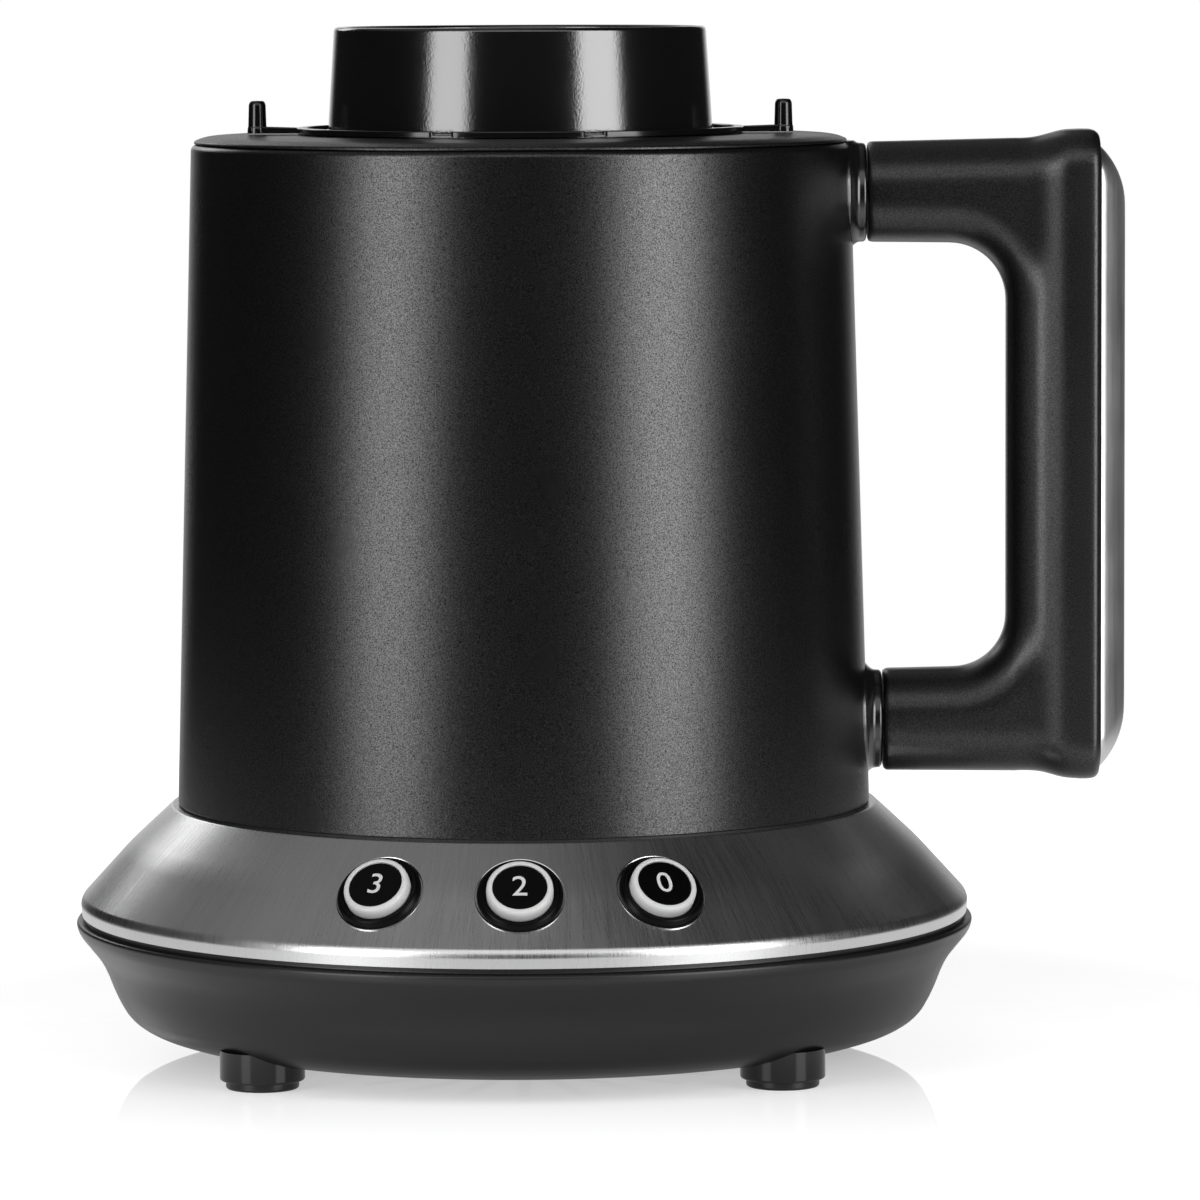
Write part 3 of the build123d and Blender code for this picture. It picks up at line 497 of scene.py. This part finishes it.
def hole_lip(place):
    """Rolled edge of the sheet round a button, bent sideways like the cone."""
    bm = turned(HOLE_LIP_OUTLINE, 128, Matrix.Identity(4))
    for corner in bm.verts:
        corner.co.z -= corner.co.x ** 2 / (2 * CONE_RADIUS * MM)
    bmesh.ops.transform(bm, matrix=place, verts=bm.verts)
    return bm


BUTTON_PLACES = {side: button_place(swing) for side, swing in BUTTON_SWINGS.items()}
skirt = shown("steel_skirt", turned(SKIRT_OUTLINE, 256), FINISHES["brushed_steel"])
cut(skirt, joined(*[peg(BUTTON_HOLE, *BUTTON_CUT, 64, place) for place in BUTTON_PLACES.values()]))
fitted(skirt, "roaster", "brushed_steel", "base_skirt")
hole_lips = joined(*[hole_lip(place) for place in BUTTON_PLACES.values()])
fitted(shown("hole_lips", hole_lips, HOLE_STEEL), "roaster", "brushed_steel")

# ---- Buttons ----
BEZEL_OUTLINE = [
    (7.5, -9.8), (8.5, -9.8), (8.5, -0.2), (9.26, -0.2), (9.26, 0.35, 0.12), (8.6, 1.2, 0.3),
    (8.2, 1.2, 0.15), (8.0, 0.9, 0.1), (7.5, 0.9, 0.1),
]
CAP_OUTLINE = [
    (0, -3.0), (1.75, -3.0), (1.75, -1.8), (7.2, -1.8), (7.2, 1.7), (7.1, 3.0, 0.7), (6.3, 3.25, 0.4),
    (5.9, 3.2, 0.15), (5.9, 2.2), (0, 2.2),
]
DISC_OUTLINE = [(0, 2.2), (5.85, 2.2), (5.85, 3.0, 0.3), (0, 3.05)]
NUMERALS = {"left": "3", "centre": "2", "right": "0"}
NUMERAL_SIZE = 7.4
NUMERAL_FILM = 0.04
NUMERAL_HEIGHT = 3.07


def numeral(name, sign, place):
    """Printed number, a thin raised film on a button's disc."""
    text = bpy.data.curves.new(name, "FONT")
    text.body = sign
    text.size = NUMERAL_SIZE * MM
    text.align_x = "CENTER"
    text.align_y = "CENTER"
    text.extrude = NUMERAL_FILM * MM
    text.resolution_u = 6
    drawn = bpy.data.objects.new(name, text)
    bpy.context.scene.collection.objects.link(drawn)
    graph = bpy.context.evaluated_depsgraph_get()
    bm = bmesh.new()
    bm.from_mesh(bpy.data.meshes.new_from_object(drawn.evaluated_get(graph)))
    bpy.data.objects.remove(drawn)
    bmesh.ops.remove_doubles(bm, verts=bm.verts, dist=1e-7)
    bmesh.ops.transform(bm, matrix=place @ at(0, 0, NUMERAL_HEIGHT), verts=bm.verts)
    return bm


bezels = [turned(BEZEL_OUTLINE, 96, place) for place in BUTTON_PLACES.values()]
made("bezel_rings", joined(*bezels), "bezel_plastic", "roaster", "button_bezels")
for side, place in BUTTON_PLACES.items():
    body = f"button_{side}"
    made(f"white_cap_{side}", turned(CAP_OUTLINE, 96, place), "button_white", body, body)
    made(f"black_disc_{side}", turned(DISC_OUTLINE, 96, place), "button_black", body, f"button_disc_{side}")
    made(f"numeral_{side}", numeral(f"numeral_{side}", NUMERALS[side], place), "button_white", body)

# ---- Drum and deck ----
DRUM_BOTTOM, DRUM_TOP = (77.75, 56.73), (73.6, 204.3)
DRUM_OUTLINE = [
    (*DRUM_BOTTOM, 0.3), (*DRUM_TOP, 1.5), (70.5, 204.3, 0.3), (70.5, 203.3), (72.6, 203.3),
    (76.75, 56.73, 0.3),
]
DECK_OUTLINE = [
    (43.5, 206.3, 0.4), (63.0, 206.3, 3.0), (70.4, 205.95, 1.2), (72.9, 205.0, 0.4), (72.9, 204.45),
    (71.7, 204.45), (71.7, 204.35), (70.2, 204.35), (70.2, 198.5), (68.2, 198.5), (68.2, 203.7),
    (43.5, 203.7, 0.4),
]
made("drum", turned(DRUM_OUTLINE, 256), "body_coat", "roaster", "body_shell")
made("deck", turned(DECK_OUTLINE), "deck_plastic", "roaster", "top_deck")

# ---- Chimney ----
CHIMNEY_OUTLINE = [
    (37.4, 196.5, 0.3), (39.6, 196.5, 0.3), (39.6, 204.0), (42.9, 204.0, 0.3), (42.9, 208.2, 1.5),
    (41.5, 230.2, 0.9), (39.5, 230.2, 0.8), (40.6, 208.2), (37.4, 208.2, 0.3),
]
FLANGE_OUTLINE = [
    (42.96, 206.6), (49.6, 206.6), (49.6, 207.1, 0.2), (44.2, 207.1, 0.4), (42.96, 207.5, 0.2),
]
RIB_INSIDE, RIB_OUTSIDE = 48.2, 50.0
RING_BOTTOM, RING_TOP = 206.6, 207.9
RIB_ARCS = [(-106.1, 32.2), (73.9, 32.2), (2.0, 65.0), (113.0, 65.0), (182.0, 65.0), (293.0, 65.0)]
END_ROUNDING, EDGE_ROUNDING = 0.86, 0.3
CORNER = 1.0  # radians; faces that meet at a larger angle than this have a corner between them
PIN_CIRCLE = 58.8
PIN_OUTLINE = [
    (0, 206.6), (2.25, 206.6), (2.2, 207.7, 0.3), (2.05, 208.1, 0.2), (1.9, 213.1, 0.4), (1.5, 213.8, 0.3),
    (0, 213.9),
]


def rib(start, sweep):
    """Curved rib with round ends that stands on the ring; start and sweep are in degrees."""
    round_end = 1.05  # degrees that an end adds
    bm = bmesh.new()
    corners = [
        (RIB_INSIDE, RING_BOTTOM), (RIB_OUTSIDE, RING_BOTTOM),
        (RIB_OUTSIDE, RING_TOP), (RIB_INSIDE, RING_TOP),
    ]
    section = [bm.verts.new((radius * MM, 0, height * MM)) for radius, height in corners]
    face = bm.faces.new(section)
    turn_to_start = Matrix.Rotation(math.radians(start - round_end), 3, "Z")
    bmesh.ops.rotate(bm, verts=section, cent=(0, 0, 0), matrix=turn_to_start)
    bmesh.ops.spin(
        bm, geom=[face], cent=(0, 0, 0), axis=(0, 0, 1), dvec=(0, 0, 0),
        angle=math.radians(sweep + 2 * round_end), steps=max(8, round(sweep / 2)), use_merge=False,
    )
    bmesh.ops.recalc_face_normals(bm, faces=bm.faces)
    ends = [edge for edge in uprights(bm) if len(edge.link_faces) == 2 and edge.calc_face_angle() > CORNER]
    beveled(bm, ends, END_ROUNDING, 6)
    high = {corner for corner in bm.verts if abs(corner.co.z - RING_TOP * MM) < 1e-6}
    rim = [edge for edge in bm.edges if high.issuperset(edge.verts) and edge.calc_face_angle() > CORNER]
    beveled(bm, rim, EDGE_ROUNDING, 3)
    bmesh.ops.transform(bm, matrix=DRUM_AXIS, verts=bm.verts)
    return bm


def arm(side):
    """Bar from the ribs out to a finger pin, a little higher at its outer end."""
    inner, outer, width, height, outer_rise = 49.2, 60.2, 3.8, 1.25, 0.35
    middle = (side * (inner + outer) / 2, 0, RING_BOTTOM + height / 2)
    bm = block((outer - inner, width, height), middle)
    outer_top = [
        corner for corner in bm.verts
        if corner.co.z > (RING_BOTTOM + 0.5) * MM and abs(corner.co.x) > (inner + 1) * MM
    ]
    bmesh.ops.translate(bm, vec=(0, 0, outer_rise * MM), verts=outer_top)
    beveled(bm, bm.edges[:], EDGE_ROUNDING, 3)
    bmesh.ops.transform(bm, matrix=DRUM_AXIS, verts=bm.verts)
    return bm


made("chimney", turned(CHIMNEY_OUTLINE), "chimney_gloss", "chimney", "chimney_cup")
ribs = [rib(*arc) for arc in RIB_ARCS]
arms = [arm(side) for side in SIDES]
collar = joined(turned(FLANGE_OUTLINE), *ribs, *arms)
made("chimney_collar", collar, "ring_plastic", "chimney", "chimney_ring")
pins = [turned(PIN_OUTLINE, 48, at(AXIS_X + side * PIN_CIRCLE, 0)) for side in SIDES]
made("pins", joined(*pins), "ring_plastic", "chimney", "finger_pins")

# ---- Handle ----
UPPER_ARM_END, UPPER_ARM_HEIGHT = 77.45, 192.85
LOWER_ARM_END, LOWER_ARM_HEIGHT = 80.8, 74.5
ARM_SLIT = 0.3
EASED_FROM = 83.0  # the arms' ends nearer to the axis than this stay crisp
FLARE_START, FLARE_END = 110.5, 124.5
GRIP_MESH = 0.65
SEAM = 129.2
COVER_MIDDLE = 133.6


def smooth(bm, chosen, rounds):
    """Evens out the chosen corners."""
    for _ in range(rounds):
        bmesh.ops.smooth_vert(
            bm, verts=chosen, factor=0.5, use_axis_x=True, use_axis_y=True, use_axis_z=True,
        )


def moulded_grip():
    """The grip's solid with a fine even mesh: its edges are eased and the flare blends into the rim."""
    bm = bmesh.new()
    bm.from_mesh(frame["nodes"]["handle_grip"].data)
    bmesh.ops.remove_doubles(bm, verts=bm.verts, dist=1e-6)
    piece = shown("grip_moulding", bm, FINISHES["grip_plastic"])
    remesh = piece.modifiers.new("even_mesh", "REMESH")
    remesh.mode = "VOXEL"
    remesh.voxel_size = GRIP_MESH * MM
    settled(piece)
    bm = bmesh.new()
    bm.from_mesh(piece.data)
    beyond_ends = [corner for corner in bm.verts if corner.co.x / MM > AXIS_X + EASED_FROM]
    smooth(bm, bm.verts[:], rounds=1)
    smooth(bm, beyond_ends, rounds=4)
    flare = [corner for corner in bm.verts if FLARE_START < corner.co.x / MM - AXIS_X < FLARE_END]
    smooth(bm, flare, rounds=24)
    bm.to_mesh(piece.data)
    bm.free()
    return piece


def cushion():
    """Steel cover: a dome across and rounder ends, built up from its seam in outlines that get narrower."""
    dome, end_dome, end_run, reach = 15.8, 19.1, 13.9, 6.0
    half_width, half_length, corner_radius, narrowest = 12.0, 69.6, 7.0, 0.02
    steps = 14
    bm = bmesh.new()
    bmesh.ops.create_grid(bm, x_segments=1, y_segments=1, size=1.0)
    bmesh.ops.scale(bm, vec=(half_width * MM, half_length * MM, 1), verts=bm.verts)
    beveled(bm, bm.verts[:], corner_radius, 10, "VERTICES")
    outline = bm.edges[:]
    bmesh.ops.delete(bm, geom=bm.faces[:], context="FACES_ONLY")
    height, width, length = 0.0, half_width, half_length
    for step in range(1, steps + 1):
        new_height = reach * math.sin(math.pi / 2 * step / steps)
        across = math.sqrt(max(0.0, dome**2 - (dome - reach + new_height) ** 2))
        end = math.sqrt(max(0.0, end_dome**2 - (end_dome - reach + new_height) ** 2))
        new_width = max(min(half_width, across), narrowest)
        new_length = half_length - end_run + end
        grown = bmesh.ops.extrude_edge_only(bm, edges=outline)["geom"]
        ring = [part for part in grown if isinstance(part, bmesh.types.BMVert)]
        edges = [part for part in grown if isinstance(part, bmesh.types.BMEdge)]
        outline = [edge for edge in edges if all(corner in ring for corner in edge.verts)]
        bmesh.ops.scale(bm, vec=(new_width / width, new_length / length, 1), verts=ring)
        bmesh.ops.translate(bm, vec=(0, 0, (new_height - height) * MM), verts=ring)
        height, width, length = new_height, new_width, new_length
    bmesh.ops.contextual_create(bm, geom=outline)
    bmesh.ops.recalc_face_normals(bm, faces=bm.faces)
    facing_out = Matrix(((0, 0, 1, 0), (1, 0, 0, 0), (0, 1, 0, 0), (0, 0, 0, 1)))
    bmesh.ops.transform(bm, matrix=at(AXIS_X + SEAM, 0, COVER_MIDDLE) @ facing_out, verts=bm.verts)
    return bm


def arm_collar(arm_end, height):
    """Collar between the drum and one arm, flared towards the drum and cut off level at the drum's top."""
    share = (height - DRUM_BOTTOM[1]) / (DRUM_TOP[1] - DRUM_BOTTOM[1])
    drum = DRUM_BOTTOM[0] + (DRUM_TOP[0] - DRUM_BOTTOM[0]) * share
    end = arm_end - ARM_SLIT
    outline = [
        (0, drum - 3.0), (13.6, drum - 3.0), (12.9, drum - 0.5, 0.3), (11.8, drum + 0.4, 0.6),
        (11.1, drum + 1.4, 0.4), (11.0, end, 0.7), (0, end),
    ]
    outward = Matrix.Rotation(math.radians(90), 4, "Y")
    bm = turned(outline, 96, at(AXIS_X, 0, height) @ outward)
    cut_off = bmesh.ops.bisect_plane(
        bm, geom=bm.verts[:] + bm.edges[:] + bm.faces[:], plane_co=(0, 0, (DRUM_TOP[1] + 0.15) * MM),
        plane_no=(0, 0, 1), clear_outer=True,
    )["geom_cut"]
    open_edges = [part for part in cut_off if isinstance(part, bmesh.types.BMEdge)]
    if open_edges:
        bmesh.ops.contextual_create(bm, geom=open_edges)
    return bm


fitted(moulded_grip(), "roaster", "grip_plastic", "handle_grip")
fitted(shown("grip_cover", cushion(), COVER_STEEL), "roaster", "brushed_steel", "handle_cover")
upper_collar = shown("upper_collar", arm_collar(UPPER_ARM_END, UPPER_ARM_HEIGHT), COLLAR_GLOSS)
fitted(upper_collar, "roaster", "grip_plastic", "upper_boss")
lower_collar = shown("lower_collar", arm_collar(LOWER_ARM_END, LOWER_ARM_HEIGHT), COLLAR_GLOSS)
fitted(lower_collar, "roaster", "grip_plastic", "lower_boss")

# ---- Pieces that keep their solid's own shape ----
for record_part in frame["record"]["subparts"]:
    solid = frame["nodes"][record_part["node"]]
    solid.data.materials.clear()
    solid.data.materials.append(FINISHES[record_part["material_slot"]])


# ---- Studio: a dark room round a sheet of white paper, with four soft lamps ----
def patch_of(tree, value, rise, fall):
    """One inside a stretch of value and nothing outside it, with a soft rise and fall."""
    return product(tree, between(tree, value, 0.0, 1.0, *rise), between(tree, value, 1.0, 0.0, *fall))


def studio_room():
    """World: nearly dark, with a pale ceiling on the left, a bright patch high up behind and a back wall.

    The camera and a mirror see plain white instead.
    """
    darkest, ceiling_level, patch_level = 0.015, 0.23, 0.9
    world = bpy.data.worlds.new("studio")
    bpy.context.scene.world = world
    world.use_nodes = True
    tree = world.node_tree
    tree.nodes.clear()
    way = node(tree, "SeparateXYZ", {0: node(tree, "TexCoord").outputs["Generated"]}).outputs
    ceiling = product(
        tree,
        between(tree, way["Z"], 0.0, ceiling_level, 0.35, 0.80),
        between(tree, way["X"], 1.0, 0.05, -0.10, 0.35),
    )
    high_behind = product(
        tree,
        between(tree, way["Y"], 0.0, patch_level, 0.55, 0.72),
        patch_of(tree, way["Z"], (0.24, 0.32), (0.60, 0.72)),
        patch_of(tree, way["X"], (-0.40, -0.30), (-0.14, -0.03)),
    )
    back_wall = product(
        tree,
        between(tree, way["Y"], 0.0, 1.0, 0.91, 0.985),
        patch_of(tree, way["Z"], (-0.3, -0.2), (0.20, 0.40)),
    )
    level = total(tree, ceiling, high_behind, back_wall, darkest)
    white = node(tree, "Background", {"Color": (1, 1, 1, 1), "Strength": 1.0}).outputs[0]
    room = node(tree, "Background", {"Color": (1, 1, 1, 1), "Strength": level}).outputs[0]
    rays = node(tree, "LightPath").outputs
    plain = calc(tree, "MAXIMUM", rays["Is Camera Ray"], rays["Is Singular Ray"])
    seen = node(tree, "MixShader", {0: plain, 1: room, 2: white}).outputs[0]
    node(tree, "OutputWorld", {"Surface": seen})


def softbox(name, azimuth, elevation, distance, width, height, radiance):
    """Area lamp on a sphere round the object, in metres and degrees.

    Azimuth turns from the front to the right. The radiance is what a mirror shows of the lamp, so a wider
    lamp isn't a brighter one.
    """
    lamp = bpy.data.lights.new(name, "AREA")
    lamp.shape = "RECTANGLE"
    lamp.size = width
    lamp.size_y = height
    lamp.energy = radiance * width * height * math.pi
    holder = bpy.data.objects.new(name, lamp)
    turn, lift = math.radians(azimuth), math.radians(elevation)
    outward = Vector((math.sin(turn) * math.cos(lift), -math.cos(turn) * math.cos(lift), math.sin(lift)))
    facing = outward.to_track_quat("Z", "Y").to_matrix().to_4x4()
    holder.matrix_world = Matrix.Translation(outward * distance) @ at(AXIS_X, 0, 120.0) @ facing
    holder.visible_camera = False
    bpy.context.scene.collection.objects.link(holder)


def white_paper():
    """Floor: the camera sees lit white paper that mirrors the base, and gloss sees it bright up close.

    Distances are in metres from the middle of the object. The paper fades out before its edge, and it is
    clear from below.
    """
    white = {"Color": (1, 1, 1, 1)}
    material = bpy.data.materials.new("white_floor")
    material.use_nodes = True
    tree = material.node_tree
    tree.nodes.clear()
    where = node(tree, "TexCoord").outputs["Object"]
    distance = node(tree, "VectorMath", {0: where}, operation="LENGTH").outputs["Value"]
    rearward = node(tree, "SeparateXYZ", {0: where}).outputs["Y"]
    rays = node(tree, "LightPath").outputs

    front_sheen, added_sheen, sheen_curve = 0.09, 0.42, 1.6
    nearness = calc(tree, "POWER", between(tree, rearward, 0.0, 1.0, -0.15, 0.0), sheen_curve)
    sheen = product(
        tree,
        total(tree, product(tree, nearness, added_sheen), front_sheen),
        between(tree, distance, 1.0, 0.0, 0.19, 0.34),
        between(tree, rearward, 1.0, 0.0, 0.04, 0.12),
    )
    matt = node(tree, "BsdfDiffuse", {"Color": (0.80, 0.80, 0.80, 1)}).outputs[0]
    glow_level = between(tree, distance, 0.68, 1.0, 0.17, 0.34)
    glow = node(tree, "Emission", {**white, "Strength": glow_level}).outputs[0]
    lit = node(tree, "AddShader", {0: matt, 1: glow}).outputs[0]
    mirror = node(tree, "BsdfGlossy", {**white, "Roughness": 0.0}).outputs[0]
    polished = node(tree, "MixShader", {0: sheen, 1: lit, 2: mirror}).outputs[0]

    mirror_share = 0.15
    shaded_under_base = between(tree, distance, 0.42, 1.02, 0.09, 0.17)
    dim_far_out = between(tree, distance, 1.02, 0.28, 0.24, 0.42)
    bright_level = calc(tree, "MINIMUM", shaded_under_base, dim_far_out)
    bright = node(tree, "Emission", {**white, "Strength": bright_level}).outputs[0]
    mirrored = node(tree, "MixShader", {0: mirror_share, 1: bright, 2: mirror}).outputs[0]
    in_gloss = node(tree, "MixShader", {0: rays["Is Glossy Ray"], 1: matt, 2: mirrored}).outputs[0]
    paper = node(tree, "MixShader", {0: rays["Is Camera Ray"], 1: in_gloss, 2: polished}).outputs[0]

    clear = node(tree, "BsdfTransparent").outputs[0]
    from_below = node(tree, "NewGeometry").outputs["Backfacing"]
    gone = calc(tree, "MAXIMUM", between(tree, distance, 0.0, 1.0, 0.40, 0.80), from_below)
    faded = node(tree, "MixShader", {0: gone, 1: paper, 2: clear}).outputs[0]
    node(tree, "OutputMaterial", {"Surface": faded})
    return material


studio_room()
softbox("left_strip", azimuth=-43.0, elevation=6.0, distance=1.3, width=0.54, height=1.1, radiance=5.4)
softbox("right_strip", azimuth=49.0, elevation=6.0, distance=1.3, width=0.60, height=1.1, radiance=6.4)
softbox("overhead", azimuth=-3.0, elevation=39.5, distance=1.4, width=2.6, height=0.80, radiance=1.10)
softbox("rear_left", azimuth=-148.5, elevation=22.0, distance=1.3, width=0.40, height=0.36, radiance=2.4)

floor_mesh = bmesh.new()
bmesh.ops.create_circle(floor_mesh, cap_ends=True, radius=1.0, segments=96)
floor = shown("floor", floor_mesh, white_paper())

bpy.context.scene.view_settings.view_transform = "Standard"
